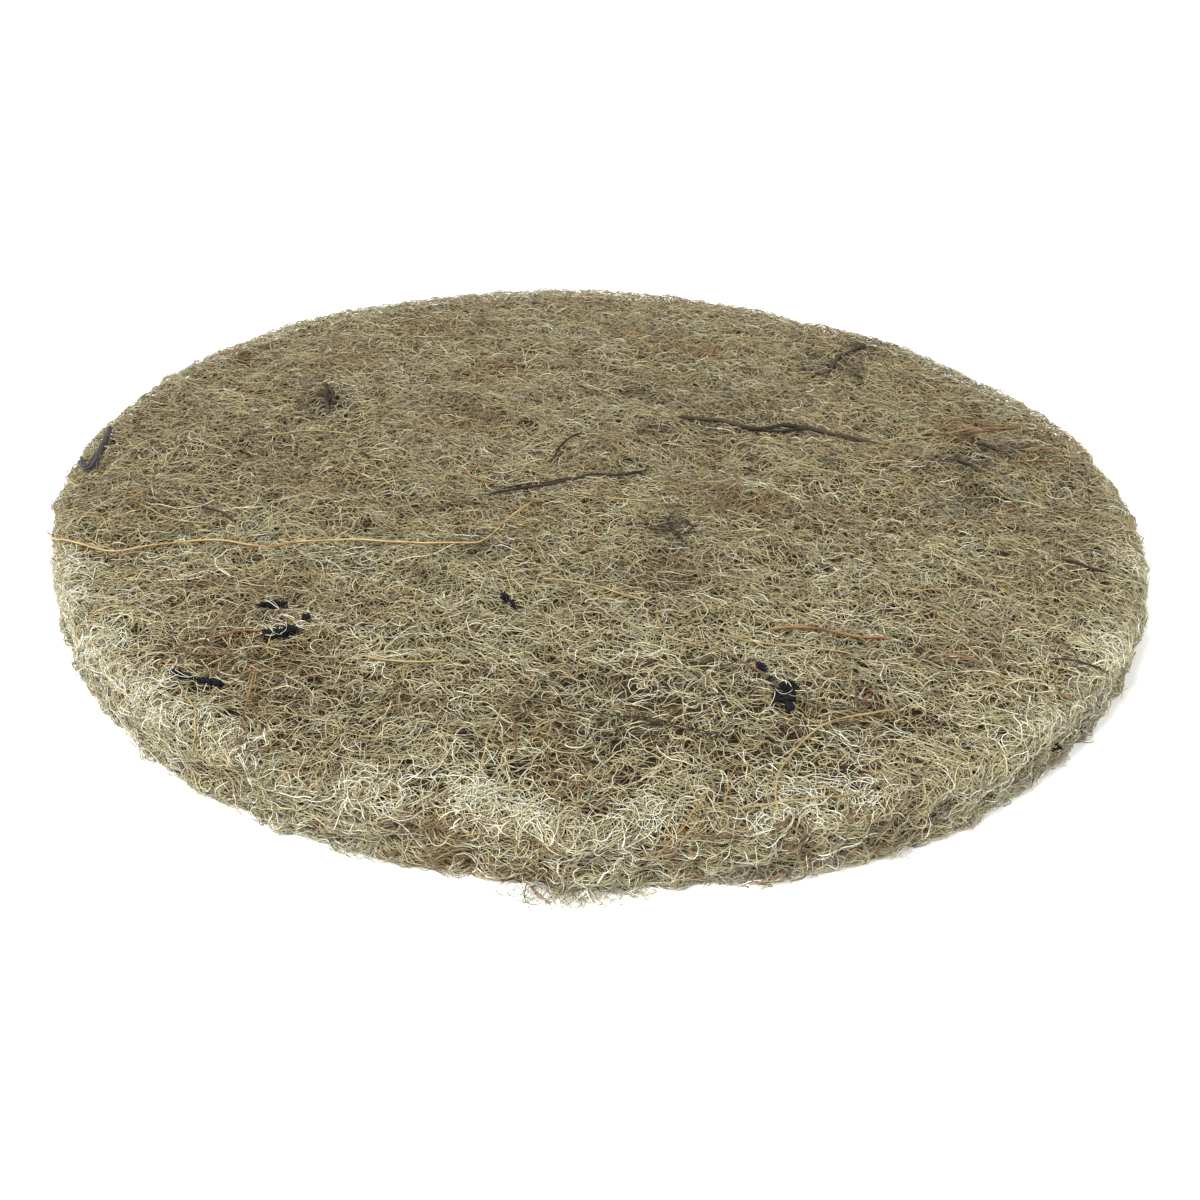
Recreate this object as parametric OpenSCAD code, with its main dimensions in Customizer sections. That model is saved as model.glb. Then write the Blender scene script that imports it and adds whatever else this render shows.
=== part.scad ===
// Felt polishing wheel: a loose-pressed disc of coarse natural fibre, without a hub or a bore.
// It is laid up from three webs of carded fibre. Coarse animal hairs, dark tufts and bits of
// plant matter lie half bedded in its working face and its rim. Its back is flat and is held
// or glued to a lap, a backing plate or a tumbler's pad.
// Frame: origin at the middle of the back face, +Z out of the working face.

/* [Disc] */
// Outside diameter of the disc
disc_d = 75; // [60:1:100]
// Thickness over all three webs
disc_t = 4; // [3.5:0.1:5]
// Radius of the soft edge around the working face
face_edge_r = 0.9; // [0.5:0.1:1]
// Radius of the edge around the back
back_edge_r = 0.3; // [0.2:0.05:0.5]

/* [Webs] */
// Thickness of the face web
face_web_t = 1.3; // [1.2:0.1:1.5]
// Thickness of the back web
back_web_t = 1.2; // [1:0.1:1.4]

/* [Coarse hairs] */
// Thickness of the long golden hair
gold_d = 0.16; // [0.1:0.02:0.24]
// Thickness of the fine golden hairs
fine_gold_d = 0.12; // [0.08:0.02:0.2]
// Thickness of the russet kemp hairs
kemp_d = 0.22; // [0.14:0.02:0.3]
// Thickness of the brown and dark guard hairs
guard_d = 0.16; // [0.1:0.02:0.24]
// Thickness of the dark lock in the rim
lock_d = 0.36; // [0.2:0.02:0.5]
// Thickness of the stray hair at the back edge
stray_d = 0.16; // [0.1:0.02:0.24]

/* [Tufts and flecks] */
// Height of a matted black tuft
tuft_h = 0.36; // [0.2:0.02:0.5]
// Height of a fleck of plant matter
fleck_h = 0.2; // [0.1:0.02:0.3]

/* [Hidden] */

disc_r = disc_d / 2;
core_web_t = disc_t - face_web_t - back_web_t;
// Places on the face are laid out for a 75 mm disc and spread with its size
k = disc_d / 75;

// Each coarse hair is [x, y, heading, bend radius, turn]: it starts at x, y along its heading
// and runs in one bend, to the left for a positive turn and to the right for a negative one.
LONG_GOLD = [[-35.4, -12.4, -12, 70, 24]];
CURLED_GOLD = [[16, -26.6, 186, 8.6, 72]];
FINE_GOLD = [[-3.2, -15, -4, 22, -20], [7.1, -20, -16, 40, 12], [9.9, -34.6, 12, 60, 4],
             [-13.2, -23.6, -18, 14, 20], [24, -14, 150, 12, 34], [-24, 4, 20, 30, 14],
             [14, 2.5, -30, 10, 32]];
RUSSET = [[10.4, -18.8, -4, 40, -11], [-23.8, -24, 24, 18, 12], [25.2, 9.3, 8, 30, 12],
          [-18.8, -25.4, -89, 60, 6]];
BROWN = [[-4, -26.6, -86, 30, 10], [31.2, 4.4, 4, 30, 7], [-11.5, -6, 18, 22, -16]];
DARK = [[-7, -3.6, 24, 60, 9], [-3.6, 2.6, 70, 16, -12], [7.4, 9.4, -14, 60, 13],
        [4.3, -5.6, -44, 2.6, -110], [30.2, -9.5, -24, 24, 8], [27.2, -21.2, -10, 24, 6],
        [-26.6, -8.5, -16, 20, 8], [-22.4, 12.6, -80, 30, -10], [-3.2, -27.4, -17, 60, 7]];

// Each matted tuft is [x, y, heading, length, width]
TUFTS = [[-19.4, -18.9, 4, 1.4, 0.5], [-18.3, -21.4, 10, 1.7, 0.7], [-17.2, -20.2, 70, 0.8, 0.6],
         [-22.2, -26.5, -16, 2.4, 0.5], [-5.4, -16.8, -54, 1.1, 0.5], [11.1, -25.7, -40, 1.6, 1],
         [9.7, -24, -66, 1.7, 0.6]];
// Each fleck is [x, y, heading, length, width]
FLECKS = [[21.9, -21.4, -30, 1.7, 0.5], [15.4, -25.8, 50, 1.5, 0.4], [17, -24, 20, 1.2, 0.4],
          [-27, -24.5, 10, 1.2, 0.5], [4.8, -11.4, 80, 1, 0.35], [-1.5, -33.6, -8, 1.1, 0.4],
          [-12.8, -34, 30, 1.3, 0.5], [29, -2.5, 24, 1.3, 0.4], [-14.5, 20.5, -12, 1.6, 0.45],
          [12, 24, 40, 1.2, 0.4]];

// One hair: a round strand that starts at the origin along +X and bends to one side
module hair(d, r, turn) {
  s = sign(turn);
  translate([0, s * r, 0])
    rotate([0, 0, s > 0 ? -90 : 90 + turn])
      rotate_extrude(angle = abs(turn), $fn = 96)
        translate([r, 0]) circle(d = d, $fn = 24);
}

// Hairs lying half bedded in the working face
module hairs(d, list) {
  for (h = list)
    translate([k * h[0], k * h[1], disc_t]) rotate([0, 0, h[2]]) hair(d, h[3], h[4]);
}

// A matted tuft: a short flat pad with two round ends
module tuft(l, w, h) {
  linear_extrude(h, center = true) {
    square([l - w, w], center = true);
    for (x = [-(l - w) / 2, (l - w) / 2]) translate([x, 0]) circle(d = w, $fn = 32);
  }
}

// Tufts lying half bedded in the working face
module tufts() {
  for (t = TUFTS)
    translate([k * t[0], k * t[1], disc_t]) rotate([0, 0, t[2]]) tuft(t[3], t[4], tuft_h);
}

// A fleck: a thin splinter with two pointed ends
module fleck(l, w, h) {
  linear_extrude(h, center = true)
    polygon([[-l / 2, 0], [-l / 4, -w / 2], [l / 3, -w / 3], [l / 2, 0], [l / 5, w / 2], [-l / 3, w / 3]]);
}

module flecks() {
  for (f = FLECKS)
    translate([k * f[0], k * f[1], disc_t]) rotate([0, 0, f[2]]) fleck(f[3], f[4], fleck_h);
}

// The lock that follows the rim below the face's soft edge
module rim_lock() {
  translate([0, 0, disc_t - face_edge_r])
    rotate([0, 0, 175]) rotate_extrude(angle = 10, $fn = 96)
      translate([disc_r - lock_d * 0.1, 0]) circle(d = lock_d, $fn = 24);
}

// The hair that has worked out of the back web and lies on whatever the disc lies on
module stray_hair() {
  translate([-3.4 * k, -disc_r + 0.75, stray_d / 2 + 0.02])
    rotate([0, 0, -56]) hair(stray_d, 5, 30);
}

// One web: a plain ring-free disc between two heights, with an edge radius above or below
module web(z0, z1, below, above) {
  rotate_extrude($fn = 240)
    intersection() {
      translate([0, z0]) square([disc_r, z1 - z0]);
      union() {
        translate([0, z0 + below]) square([disc_r, z1 - z0 - below - above]);
        if (below > 0) {
          translate([0, z0]) square([disc_r - below, below]);
          translate([disc_r - below, z0 + below]) circle(r = below, $fn = 64);
        }
        if (above > 0) {
          translate([0, z1 - above]) square([disc_r - above, above]);
          translate([disc_r - above, z1 - above]) circle(r = above, $fn = 64);
        }
      }
    }
}

module felt_back_web() {
  color([0.60, 0.57, 0.47])
    difference() {
      web(0, back_web_t, back_edge_r, 0);
      stray_hair();
    }
}

module felt_core_web() {
  color([0.56, 0.52, 0.42]) web(back_web_t, back_web_t + core_web_t, 0, 0);
}

module felt_face_web() {
  color([0.66, 0.62, 0.50])
    difference() {
      web(disc_t - face_web_t, disc_t, 0, face_edge_r);
      hairs(gold_d, LONG_GOLD);
      hairs(gold_d, CURLED_GOLD);
      hairs(fine_gold_d, FINE_GOLD);
      hairs(kemp_d, RUSSET);
      hairs(guard_d, BROWN);
      hairs(guard_d, DARK);
      tufts();
      flecks();
      rim_lock();
    }
}

module long_golden_hair() {
  color([0.78, 0.60, 0.30]) hairs(gold_d, LONG_GOLD);
}

module curled_golden_hair() {
  color([0.76, 0.60, 0.30]) hairs(gold_d, CURLED_GOLD);
}

module fine_golden_hairs() {
  color([0.72, 0.56, 0.30]) hairs(fine_gold_d, FINE_GOLD);
}

module russet_kemp_hairs() {
  color([0.55, 0.27, 0.12]) hairs(kemp_d, RUSSET);
}

module brown_guard_hairs() {
  color([0.36, 0.22, 0.13]) hairs(guard_d, BROWN);
}

module dark_guard_hairs() {
  color([0.16, 0.14, 0.13]) hairs(guard_d, DARK);
}

module black_wool_tufts() {
  color([0.09, 0.09, 0.11]) tufts();
}

module rim_dark_lock() {
  color([0.24, 0.22, 0.20]) rim_lock();
}

module plant_flecks() {
  color([0.48, 0.30, 0.16]) flecks();
}

module stray_edge_hair() {
  color([0.40, 0.28, 0.20]) stray_hair();
}

felt_back_web();
felt_core_web();
felt_face_web();
long_golden_hair();
curled_golden_hair();
fine_golden_hairs();
russet_kemp_hairs();
brown_guard_hairs();
dark_guard_hairs();
black_wool_tufts();
rim_dark_lock();
plant_flecks();
stray_edge_hair();
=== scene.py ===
# Felt polishing disc: loose-pressed natural fibre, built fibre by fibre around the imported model.
# Lengths are in millimetres in the helpers and become metres when a mesh is made.
import math
import bpy
import numpy as np
from mathutils import Matrix, Vector


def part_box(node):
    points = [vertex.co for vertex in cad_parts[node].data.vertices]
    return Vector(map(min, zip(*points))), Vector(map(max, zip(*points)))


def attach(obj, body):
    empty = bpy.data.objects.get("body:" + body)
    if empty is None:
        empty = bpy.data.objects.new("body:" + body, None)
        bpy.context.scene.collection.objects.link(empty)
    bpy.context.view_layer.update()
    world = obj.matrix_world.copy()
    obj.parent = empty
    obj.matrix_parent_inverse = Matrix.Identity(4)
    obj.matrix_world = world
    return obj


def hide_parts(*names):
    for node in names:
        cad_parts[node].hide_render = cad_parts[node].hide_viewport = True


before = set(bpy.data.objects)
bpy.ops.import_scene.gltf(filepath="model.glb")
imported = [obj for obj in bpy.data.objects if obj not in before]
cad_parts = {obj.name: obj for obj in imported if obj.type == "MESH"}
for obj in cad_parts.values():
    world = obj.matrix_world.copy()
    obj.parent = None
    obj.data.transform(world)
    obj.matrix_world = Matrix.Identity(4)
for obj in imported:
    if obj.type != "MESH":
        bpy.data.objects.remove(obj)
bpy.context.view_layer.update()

MM = 0.001
lo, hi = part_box("felt_core_web")
R0 = hi.x / MM                                  # disc radius
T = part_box("felt_face_web")[1].z / MM           # top of the face web
Z1, Z2 = lo.z / MM, hi.z / MM                   # where the three webs meet
ET, EB = 1.15, 0.6                              # edge radius above and below
rng = np.random.default_rng(7509)
TAU = 2 * math.pi


# ------------------------------------------------------------------ shape of the felt
def waves(seed, size, n=14):
    """A smooth random field over x, y with features about size mm wide and a spread near 1."""
    r = np.random.default_rng(seed)
    a, w, p = r.uniform(0, TAU, n), TAU / (size * r.uniform(1.0, 2.2, n)), r.uniform(0, TAU, n)
    kx, ky = w * np.cos(a), w * np.sin(a)

    def f(x, y):
        out = np.zeros(np.shape(x))
        for i in range(n):
            out += np.cos(kx[i] * x + ky[i] * y + p[i])
        return out * math.sqrt(2.0 / n)
    return f


swell, dents, pores, rim_wave, rim_fray = waves(1, 9.0), waves(2, 3.2), waves(3, 1.5), waves(4, 2.0), waves(5, 0.9)

# The cut outline isn't a true circle: bulges and flats listed as azimuth in degrees and mm
OUTLINE = [(0, 0.25), (8, 0.5), (14, 0.9), (20, 0.8), (26, 0.8), (31, 0.55), (37, 0.05), (46, 0.15), (54, 0.0), (60, -0.3),
           (68, 0.0), (75, -0.25), (81, 0.85), (90, 0.75), (98, 0.95), (109, 0.35), (117, 0.65), (124, 0.3), (134, 1.25), (145, 0.7),
           (152, 0.4), (158, 0.5), (165, 0.0), (171, -0.05), (175, 0.35), (180, 0.05), (185, -0.2), (190, -0.15), (200, -0.6),
           (216, -0.25), (232, 0.1), (246, 0.1), (254, -0.1), (262, -0.35), (270, 0.1), (277, -0.5), (285, 0.05), (303, -0.1),
           (314, -0.45), (324, -0.45), (330, -0.3), (345, -0.1)]
_az = np.arange(0, 360, 0.5)
_pa = np.array([a for a, _ in OUTLINE], float)
_pv = np.array([v for _, v in OUTLINE], float)
_tab = np.interp(_az, np.r_[_pa, 360.0], np.r_[_pv, _pv[0]])
_ker = np.exp(-0.5 * (np.arange(-12, 13) / 4.5) ** 2)
_ker /= _ker.sum()
_tab = np.convolve(np.r_[_tab[-12:], _tab, _tab[:12]], _ker, "valid")


def outline(th, z):
    """Radius of the felt at azimuth th and height z: the cut line, a little sway, and the seams of the webs."""
    a = np.degrees(th) % 360.0
    r = R0 + 0.22 + 0.9 * np.interp(a, np.r_[_az, 360.0], np.r_[_tab, _tab[0]])
    r = r + 0.10 * rim_wave(R0 * th, 1.7 * z) + 0.09 * rim_fray(R0 * th, 0.8 * z)
    for zz, deep in ((Z1, 0.17), (Z2, 0.15), (2.0, 0.08)):
        wob = 0.16 * np.sin(5 * th + zz) + 0.1 * np.sin(13 * th + 2 * zz)
        r = r - deep * np.exp(-((z - zz - wob) / 0.17) ** 2)
    return r


def lump(x, y):
    """How far the face stands above or below its mean height."""
    return 0.08 + 0.10 * swell(x, y) + 0.07 * dents(x, y)


def skin(P, depth):
    """The points P moved to the given depth under the felt's skin, and the outward normals there."""
    x, y, z = P[:, 0], P[:, 1], P[:, 2]
    th = np.arctan2(y, x)
    r = np.hypot(x, y)
    top = T + lump(x, y) * np.clip((R0 + 1 - r) / 3.0, 0.3, 1)
    R = outline(th, z)
    up = z > 1.8
    e = np.where(up, ET, EB)
    rc = np.minimum(r, R - e)
    zc = np.clip(z, EB, top - ET)
    dr, dz = r - rc, z - zc
    L = np.hypot(dr, dz)
    flat = L < 1e-6
    dz = np.where(flat, np.where(up, 1.0, -1.0), dz)
    L = np.where(flat, 1.0, L)
    nr, nz = dr / L, dz / L
    k = e - depth
    rn = rc + nr * k
    zn = zc + nz * k
    c, s = np.cos(th), np.sin(th)
    Q = np.stack([rn * c, rn * s, zn], 1)
    N = np.stack([nr * c, nr * s, nz], 1)
    return Q, N


def unit(v):
    return v / np.maximum(np.linalg.norm(v, axis=-1, keepdims=True), 1e-9)


# ------------------------------------------------------------------ growing fibres
def grow(P, D, steps, ds, curl, tight, depth, sway, rise=None, crimp=2.4):
    """Fibres that start at P along D and wander over the skin. curl: mean bend in rad/mm, tight: how long a bend lasts,
    depth: mean depth under the skin, sway: how far each one weaves up and down, rise: how far its free end stands up,
    crimp: the wool's own short waves, in rad/mm at most."""
    n = len(P)
    dep = np.zeros((n, steps + 1))
    lam = rng.uniform(1.2, 3.8, n)
    ph = rng.uniform(0, TAU, n)
    for i in range(steps + 1):
        dep[:, i] = depth + sway * np.sin(TAU * i * ds / lam + ph)
    if rise is not None:
        t = np.linspace(0, 1, steps + 1)[None, :] ** 2.2
        dep = dep - rise[:, None] * t
    dep = np.clip(dep, -3.0, 0.88)
    k = rng.normal(0, 1, n) * curl
    pts = np.zeros((n, steps + 1, 3))
    nrm = np.zeros((n, steps + 1, 3))
    P, N = skin(P, dep[:, 0])
    D = unit(D - (D * N).sum(1, keepdims=True) * N)
    pts[:, 0], nrm[:, 0] = P, N
    keep = math.exp(-np.mean(ds) / tight)
    camp = crimp * rng.uniform(0, 1, n)
    clam = rng.uniform(1.0, 2.4, n)
    cph = rng.uniform(0, TAU, n)
    for i in range(1, steps + 1):
        Q, N = skin(P + D * ds[:, None], dep[:, i])
        D = unit(D - (D * N).sum(1, keepdims=True) * N)
        k = keep * k + math.sqrt(1 - keep * keep) * rng.normal(0, 1, n) * curl
        a = (k + camp * np.sin(TAU * i * ds / clam + cph)) * ds
        D = D * np.cos(a)[:, None] + np.cross(N, D) * np.sin(a)[:, None]
        pts[:, i], nrm[:, i] = Q, N
        P = Q
    return pts, nrm


def tubes(pts, nrm, rad):
    """Closed three-sided tubes with pointed ends along pts (n, m, 3): vertices, quads and triangles as index arrays."""
    n, m, _ = pts.shape
    t = unit(np.gradient(pts, axis=1))
    a = nrm - (nrm * t).sum(2, keepdims=True) * t
    a = unit(a)
    b = np.cross(t, a)
    spin = rng.uniform(0, TAU, n)[:, None, None]
    ring = pts[:, 1:-1, None, :] + rad[:, None, None, None] * sum(
        f(spin + TAU * np.arange(3) / 3)[:, :, :, None] * v[:, 1:-1, None, :] for f, v in ((np.cos, a), (np.sin, b)))
    w = 3 * (m - 2) + 2
    V = np.concatenate([pts[:, :1], ring.reshape(n, -1, 3), pts[:, -1:]], 1).reshape(-1, 3)
    base = (np.arange(n) * w)[:, None, None]
    i = np.arange(m - 3)[None, :, None]
    j = np.arange(3)[None, None, :]
    j1 = (j + 1) % 3
    q = np.stack([base + 1 + 3 * i + j, base + 1 + 3 * i + j1, base + 4 + 3 * i + j1, base + 4 + 3 * i + j], -1)
    j, j1 = j[:, 0], j1[:, 0]
    base = base[:, 0]
    t0 = np.stack([base + 0 * j, base + 1 + j1, base + 1 + j], -1)
    e = w - 1
    t1 = np.stack([base + e + 0 * j, base + e - 3 + j, base + e - 3 + j1], -1)
    tri = np.concatenate([t0, t1], 1)
    return V, q.reshape(n, -1, 4), tri.reshape(n, -1, 3)


def make_mesh(name, V, Q, Tr, mats, qm=None, tm=None, smooth=True):
    """A mesh object from vertices in mm, quads and triangles, with a material index for each face."""
    me = bpy.data.meshes.new(name)
    nq, nt = len(Q), len(Tr)
    me.vertices.add(len(V))
    me.vertices.foreach_set("co", (np.asarray(V, np.float32) * MM).ravel())
    loops = np.concatenate([np.asarray(Q, np.int32).ravel(), np.asarray(Tr, np.int32).ravel()])
    me.loops.add(len(loops))
    me.loops.foreach_set("vertex_index", loops)
    me.polygons.add(nq + nt)
    start = np.concatenate([np.arange(nq) * 4, nq * 4 + np.arange(nt) * 3]).astype(np.int32)
    me.polygons.foreach_set("loop_start", start)
    if qm is not None:
        me.polygons.foreach_set("material_index", np.concatenate([qm, tm]).astype(np.int32))
    me.polygons.foreach_set("use_smooth", np.full(nq + nt, smooth))
    for m in mats:
        me.materials.append(m)
    me.update(calc_edges=True)
    o = bpy.data.objects.new(name, me)
    bpy.context.scene.collection.objects.link(o)
    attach(o, "root")
    return o


class Bundle:
    """Collects fibres with their colours, and writes them out as a few meshes by azimuth."""

    def __init__(self):
        self.parts = []

    def add(self, pts, nrm, rad, col, thin_white=1.0):
        self.parts.append((pts, nrm, rad * np.where(col == 0, thin_white, 1.0), col))

    def write(self, name, slot, mats, pieces, by=None):
        made = []
        where = []
        for pts, nrm, rad, col in self.parts:
            c = pts.mean(1)
            key = np.arctan2(c[:, 1], c[:, 0]) if by is None else by(c)
            where.append(np.floor((key / TAU + 0.5) * pieces).astype(int) % pieces)
        for k in range(pieces):
            Vs, Qs, Ts, qm, tm, off = [], [], [], [], [], 0
            for (pts, nrm, rad, col), w in zip(self.parts, where):
                sel = w == k
                if not sel.any():
                    continue
                V, Q, Tr = tubes(pts[sel], nrm[sel], rad[sel])
                V[:, 2] = np.maximum(V[:, 2], 0.03)
                c = col[sel]
                Vs.append(V)
                Qs.append(Q.reshape(-1, 4) + off)
                Ts.append(Tr.reshape(-1, 3) + off)
                qm.append(np.repeat(c, Q.shape[1]))
                tm.append(np.repeat(c, Tr.shape[1]))
                off += len(V)
            if not Vs:
                continue
            o = make_mesh(f"{name}_{k:02d}" if pieces > 1 else name, np.concatenate(Vs), np.concatenate(Qs), np.concatenate(Ts),
                          mats, np.concatenate(qm), np.concatenate(tm))
            made.append(o)
        return made


# ------------------------------------------------------------------ materials
def fibre_mat(name, rgb, rough=0.45):
    m = bpy.data.materials.new(name)
    m.use_nodes = True
    b = m.node_tree.nodes["Principled BSDF"]
    b.inputs["Base Color"].default_value = (*rgb, 1)
    b.inputs["Roughness"].default_value = rough
    b.inputs["Specular IOR Level"].default_value = 0.5
    return m


# Wool as it grows: pale to dark, in linear colour
WOOL = [("wool_white", (0.565, 0.575, 0.487)), ("wool_ivory", (0.45, 0.42, 0.28)), ("wool_cream", (0.355, 0.318, 0.182)),
        ("wool_straw", (0.31, 0.248, 0.120)), ("wool_sage", (0.255, 0.240, 0.134)), ("wool_beige", (0.240, 0.198, 0.105)),
        ("wool_ash", (0.235, 0.226, 0.172)), ("wool_tan", (0.165, 0.120, 0.060)), ("wool_taupe", (0.095, 0.076, 0.040)),
        ("wool_brown", (0.10, 0.054, 0.022)), ("wool_russet", (0.145, 0.060, 0.020)), ("wool_gold", (0.26, 0.16, 0.050)),
        ("wool_umber", (0.036, 0.023, 0.011)), ("wool_black", (0.013, 0.011, 0.011))]
WOOL_MATS = [fibre_mat(n, c) for n, c in WOOL]
NAMES = [n for n, _ in WOOL]
BASE = dict(wool_white=0.06, wool_ivory=0.16, wool_cream=0.18, wool_straw=0.11, wool_sage=0.16, wool_beige=0.14,
            wool_ash=0.08, wool_tan=0.07, wool_taupe=0.04, wool_brown=0.014, wool_russet=0.007, wool_gold=0.010,
            wool_umber=0.008, wool_black=0.003)
BASE_W = np.array([BASE[n] for n in NAMES])
PALE = np.array([n in ("wool_white", "wool_ivory", "wool_cream") for n in NAMES], float)
BROWN = np.array([n in ("wool_brown", "wool_russet", "wool_gold", "wool_tan") for n in NAMES], float)
DARKS = np.array([n in ("wool_taupe", "wool_umber", "wool_black") for n in NAMES], float)
GREYS = np.array([n in ("wool_ash", "wool_sage", "wool_white") for n in NAMES], float)

# Where the felt's mix of wool changes: x, y, radius in mm, strength
BROWN_SPOTS = [(-21, -23, 5, 3.8), (-18.5, -29, 3, 2.2), (-7.4, -36.8, 1.0, 7), (-5.8, -36.4, 0.8, 3), (-2.9, -37.4, 1.2, 5),
               (4.4, -37.2, 0.8, 7), (10.5, -36, 0.9, 7), (14.0, -33.1, 0.7, 6), (15.0, -34.1, 0.7, 6), (17.6, -32.3, 0.7, 5), (-3.5, -29, 2.2, 2.2), (28.5, 9.5, 2.6, 6.0), (32.5, 4.7, 1.5, 3.4),
               (9.2, 24, 1.8, 1.6), (-8, 18.3, 1.6, 1.6), (-30.5, 18.5, 1.2, 3), (15.5, -26, 2.6, 1.6), (21.5, -21.5, 2, 1.6),
               (3, -12, 2.6, 1.2), (9, -7, 3, 0.8), (20, 16, 3, 1.0), (-20.5, 19, 2, 1.4), (-2, -34.5, 3, 1.6), (12, -35.5, 2, 1.6)]
DARK_SPOTS = [(-20.5, -24, 4.5, 0.8), (-22, 10.5, 1.6, 5), (19.3, 22, 1.8, 5), (22, 26, 1.4, 4), (4, 7.7, 1.0, 7), (26.7, 3.8, 1.6, 5), (29.3, 6.3, 1.3, 4),
              (4.8, -7.4, 1.6, 4), (2.4, 15, 1.6, 2), (26, -2.4, 1.4, 2.5), (-8, -11.2, 1.2, 3), (4, -13.5, 2.0, 2.0),
              (2, -27.5, 4, 1.2), (9, -28, 4, 1.0), (18, -23, 6, 0.4), (-12, 10, 1.4, 2), (-25, 2, 3, 0.8), (10, 14, 5, 0.6)]
PALE_SPOTS = [(-25, -27.5, 4, 1.4), (-5, -36, 3, 3.0), (3, -23, 5, 0.9), (11, -34.5, 4, 0.8), (-33, -17, 3.5, 1.4),
              (24, -28, 4, 0.5), (32, -19, 4, 0.9), (-29, -24, 4, 1.4), (14, -17, 4, 0.5), (-20, 3, 4, 0.5), (20, -8, 5, 0.4)]


def spots(x, y, lst):
    s = np.zeros(np.shape(x))
    for a, b, r, k in lst:
        s += k * np.exp(-((x - a) ** 2 + (y - b) ** 2) / (r * r))
    return s


tone, warmth, cool, layers = waves(11, 5.0), waves(12, 7.0), waves(13, 4.0), waves(14, 1.6)


def wool_colour(c, depth, pale=0.0, dark=0.0, brown=0.0, grey=0.0, white=0.0):
    """A wool for each fibre, by where it lies: c (n, 3) and its mean depth."""
    x, y = c[:, 0], c[:, 1]
    r = np.hypot(x, y)
    edge = np.clip((r - (R0 - 3.0)) / 3.0, 0, 1)
    near = np.clip((-y - 4.0) / 18.0, 0, 1)                # paler wool towards the camera, darker away from it: mostly painted shade that evens out the brighter lit far half, partly the wool's own mix
    W = np.tile(BASE_W, (len(x), 1))
    # deeper fibres get fewer pale and more dark wools: painted shade for the shadow inside the nap
    p = np.exp(0.35 * tone(x, y) - 1.25 * (1 - near) + 0.36 * near * (1 - edge) + 0.06 * edge - 2.6 * np.clip(depth, 0, 1) + pale)[:, None] * (1 + spots(x, y, PALE_SPOTS)[:, None])
    b = np.exp(0.6 * warmth(x, y) + 0.15 * (1 - near) + brown)[:, None] * (1 + 3.0 * spots(x, y, BROWN_SPOTS)[:, None])
    d = np.exp(3.4 * np.clip(depth - 0.15, 0, 1) + 0.47 * (1 - near) + dark)[:, None] * (1 + 4.0 * spots(x, y, DARK_SPOTS)[:, None])
    g = np.exp(0.35 * cool(x, y) + grey - 0.55 * (1 - near))[:, None]
    W = W * (1 + PALE * (p - 1)) * (1 + BROWN * (b - 1)) * (1 + DARKS * (d - 1)) * (1 + GREYS * (g - 1))
    W[:, 0] *= np.exp(white)
    W = np.cumsum(W / W.sum(1, keepdims=True), 1)
    return (rng.uniform(0, 1, len(x))[:, None] > W).sum(1).clip(0, len(NAMES) - 1)


def nodes_of(m):
    m.use_nodes = True
    nt = m.node_tree
    return nt, nt.nodes, nt.links, nt.nodes["Principled BSDF"]


def noise(nt, vec, scale, detail=4.0, rough=0.6):
    n = nt.nodes.new("ShaderNodeTexNoise")
    n.inputs["Scale"].default_value = scale
    n.inputs["Detail"].default_value = detail
    n.inputs["Roughness"].default_value = rough
    if vec is not None:
        nt.links.new(vec, n.inputs["Vector"])
    return n


def ramp(nt, fac, stops):
    r = nt.nodes.new("ShaderNodeValToRGB")
    while len(r.color_ramp.elements) < len(stops):
        r.color_ramp.elements.new(0.5)
    for e, (p, c) in zip(r.color_ramp.elements, stops):
        e.position = p
        e.color = (*c, 1)
    nt.links.new(fac, r.inputs["Fac"])
    return r


def felt_mat(name, tint, streak):
    """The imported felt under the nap: brown-olive mottling, finer specks, and streaks that follow the webs on the rim."""
    m = bpy.data.materials.new(name)
    nt, N, L, b = nodes_of(m)
    co = N.new("ShaderNodeTexCoord")
    mp = N.new("ShaderNodeMapping")
    mp.inputs["Scale"].default_value = (1, 1, streak)
    L.new(co.outputs["Object"], mp.inputs["Vector"])
    big = noise(nt, mp.outputs["Vector"], 240, 5, 0.65)
    fine = noise(nt, mp.outputs["Vector"], 5200, 3, 0.6)
    fine.inputs["Distortion"].default_value = 1.6
    r1 = ramp(nt, big.outputs["Fac"], [(0.30, (0.024, 0.017, 0.009)), (0.48, tint), (0.66, tuple(min(1, 1.9 * c) for c in tint))])
    r2 = ramp(nt, fine.outputs["Fac"], [(0.38, (0.18, 0.15, 0.11)), (0.62, (1, 1, 1))])
    mix = N.new("ShaderNodeMix")
    mix.data_type = "RGBA"
    mix.blend_type = "MULTIPLY"
    mix.inputs[0].default_value = 0.8
    L.new(r1.outputs["Color"], mix.inputs[6])
    L.new(r2.outputs["Color"], mix.inputs[7])
    L.new(mix.outputs[2], b.inputs["Base Color"])
    b.inputs["Roughness"].default_value = 0.95
    b.inputs["Specular IOR Level"].default_value = 0.1
    bump = N.new("ShaderNodeBump")
    bump.inputs["Strength"].default_value = 0.6
    bump.inputs["Distance"].default_value = 0.0002
    L.new(fine.outputs["Fac"], bump.inputs["Height"])
    L.new(bump.outputs["Normal"], b.inputs["Normal"])
    return m


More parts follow.
